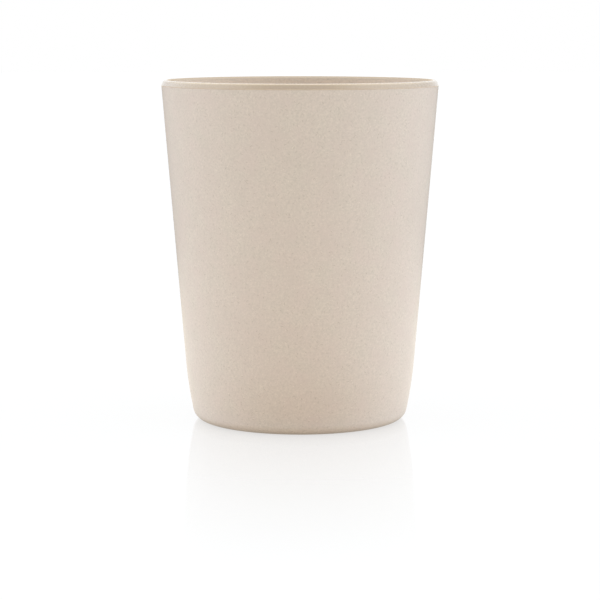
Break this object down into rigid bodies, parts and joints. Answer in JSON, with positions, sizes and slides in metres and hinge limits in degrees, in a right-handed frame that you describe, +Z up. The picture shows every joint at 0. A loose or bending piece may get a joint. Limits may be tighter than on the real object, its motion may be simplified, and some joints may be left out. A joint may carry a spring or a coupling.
{
  "type": "bamboo-fibre cup",
  "caption": "Handle-less tapered cup of speckled bamboo-fibre composite, an inner cup bonded into an outer shell, with a sloped lip band, a soft heel and a foot ring.",
  "frame": {"origin": "centre of the resting face, on the cup's axis", "axes": "+Z up along the cup's axis to the mouth; the cup is round, so X and Y are alike, and -Y faces the viewer of the picture"},
  "size_m": [0.081, 0.081, 0.1],
  "materials": {
    "shell_composite": "semi-matt pressed bamboo-fibre composite, pale beige with fine dark and light flecks",
    "liner_composite": "semi-matt pressed bamboo-fibre composite, slightly browner than the shell, with the same flecks",
    "adhesive": "cured food-safe adhesive, tan, satin"
  },
  "bodies": {
    "root": {"outer_shell": "shell_composite", "inner_cup": "liner_composite", "lip_bond": "adhesive", "floor_bond": "adhesive"}
  },
  "joints": []
}
